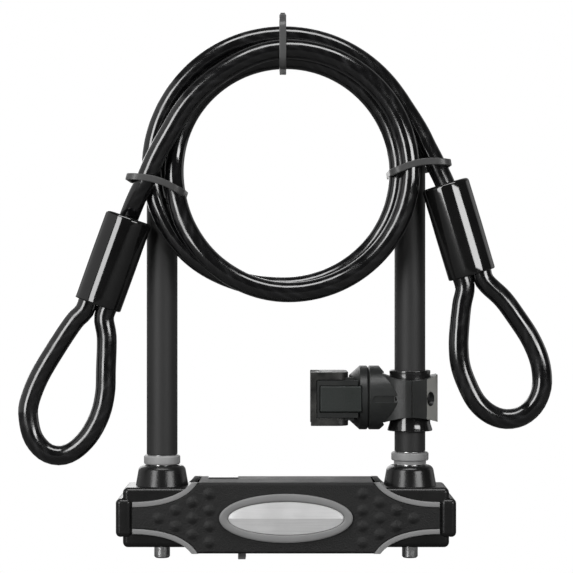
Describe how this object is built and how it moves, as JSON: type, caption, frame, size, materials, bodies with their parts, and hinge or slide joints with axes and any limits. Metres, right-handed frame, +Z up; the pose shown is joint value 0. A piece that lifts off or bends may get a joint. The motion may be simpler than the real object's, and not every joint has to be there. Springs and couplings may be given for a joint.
{
  "type": "bicycle u-lock with cable and frame bracket",
  "caption": "U-lock with vinyl-coated shackle, key-locked crossbar, coiled cable with looped ends tied to the bow, and a swivelling quick-release frame bracket.",
  "frame": {"origin": "centre of the crossbar, where a hand holds the lock up", "axes": "+Z up along the shackle's legs, +X to the right along the crossbar, -Y the front that shows the badge"},
  "size_m": [0.2662, 0.0481, 0.2742],
  "materials": {
    "hardened_steel": "satin hardened steel",
    "plated_steel": "bright zinc plated steel",
    "vinyl_coat": "satin black vinyl sleeve",
    "cable_jacket": "glossy black vinyl jacket",
    "boot_rubber": "glossy black moulded sleeve",
    "crimped_aluminium": "crimped aluminium",
    "textured_cover": "fine pebbled matt black",
    "gloss_housing": "semi-gloss black",
    "grey_trim": "mid grey",
    "collar_grey": "light grey",
    "bezel_grey": "mid grey",
    "silver_badge": "satin silver, no marking",
    "label_foil": "plain grey label",
    "nylon_tie": "black nylon",
    "bracket_plastic": "satin glass-filled black",
    "release_plastic": "satin dark grey-green",
    "bracket_rubber": "black rubber",
    "brass": "machined brass"
  },
  "bodies": {
    "lock_body": {"lock_tube": "hardened_steel", "left_receiver_bush": "hardened_steel", "right_receiver_bush": "hardened_steel", "left_bolt_guide": "hardened_steel", "right_bolt_guide": "hardened_steel", "cylinder_housing": "brass", "front_cover": "textured_cover", "back_cover": "textured_cover", "front_trim_upper_left": "grey_trim", "front_trim_upper_right": "grey_trim", "front_trim_lower_left": "grey_trim", "front_trim_lower_right": "grey_trim", "back_trim_upper_left": "grey_trim", "back_trim_upper_right": "grey_trim", "back_trim_lower_left": "grey_trim", "back_trim_lower_right": "grey_trim", "badge_bezel": "bezel_grey", "badge_plate": "silver_badge", "label_plate": "label_foil", "left_end_housing": "gloss_housing", "right_end_housing": "gloss_housing", "left_end_cap": "gloss_housing", "right_end_cap": "gloss_housing"},
    "key_cylinder": {"key_plug": "brass", "cylinder_cam": "hardened_steel"},
    "left_bolt": {"left_bolt": "hardened_steel", "left_bolt_spring": "hardened_steel"},
    "right_bolt": {"right_bolt": "hardened_steel", "right_bolt_spring": "hardened_steel"},
    "keyhole_cover": {"keyhole_shutter": "grey_trim"},
    "shackle": {"shackle_core": "plated_steel", "shackle_sleeve": "vinyl_coat", "left_collar": "collar_grey", "right_collar": "collar_grey", "cable_coil": "cable_jacket", "left_cable_lead": "cable_jacket", "right_cable_lead": "cable_jacket", "left_cable_loop": "cable_jacket", "right_cable_loop": "cable_jacket", "left_ferrule": "crimped_aluminium", "right_ferrule": "crimped_aluminium", "left_boot": "boot_rubber", "right_boot": "boot_rubber", "top_cable_tie": "nylon_tie", "left_cable_tie": "nylon_tie", "right_cable_tie": "nylon_tie"},
    "bracket_clamp": {"clamp_liner": "bracket_rubber", "clamp_inner": "bracket_plastic", "clamp_outer": "bracket_plastic", "clamp_screw_front": "plated_steel", "clamp_screw_back": "plated_steel", "swivel_base": "bracket_plastic", "swivel_pin": "hardened_steel"},
    "bracket_arm": {"bracket_arm": "bracket_plastic"},
    "release_tab": {"release_tab": "release_plastic"},
    "saddle": {"saddle": "bracket_plastic", "saddle_pad": "bracket_rubber"}
  },
  "joints": [
    {"name": "shackle_slide", "type": "slide", "parent": "lock_body", "child": "shackle", "axis": [0, 0, 1], "range_m": [0, 0.06]},
    {"name": "key_turn", "type": "hinge", "parent": "lock_body", "child": "key_cylinder", "pos_m": [0, 0, 0], "axis": [0, 0, 1], "range_deg": [0, 90]},
    {"name": "left_bolt_throw", "type": "slide", "parent": "lock_body", "child": "left_bolt", "axis": [-1, 0, 0], "range_m": [0, 0.0045]},
    {"name": "right_bolt_throw", "type": "slide", "parent": "lock_body", "child": "right_bolt", "axis": [1, 0, 0], "range_m": [0, 0.0045]},
    {"name": "shutter_slide", "type": "slide", "parent": "lock_body", "child": "keyhole_cover", "axis": [-1, 0, 0], "range_m": [0, 0.016]},
    {"name": "clamp_turn", "type": "hinge", "parent": "shackle", "child": "bracket_clamp", "pos_m": [0.0628, 0, 0.0592], "axis": [0, 0, 1], "range_deg": [-90, 90]},
    {"name": "arm_swivel", "type": "hinge", "parent": "bracket_clamp", "child": "bracket_arm", "pos_m": [0.0415, 0, 0.0592], "axis": [1, 0, 0], "range_deg": [-90, 90]},
    {"name": "tab_press", "type": "slide", "parent": "bracket_arm", "child": "release_tab", "axis": [0, 1, 0], "range_m": [0, 0.0015], "stiffness_N_per_m": 100},
    {"name": "saddle_release", "type": "slide", "parent": "bracket_arm", "child": "saddle", "axis": [-1, 0, 0], "range_m": [0, 0.02]}
  ],
  "couplings": [
    {"joint": "right_bolt_throw", "follows": "left_bolt_throw", "ratio": 1},
    {"joint": "key_turn", "follows": "left_bolt_throw", "rad_per_m": 349.07}
  ]
}
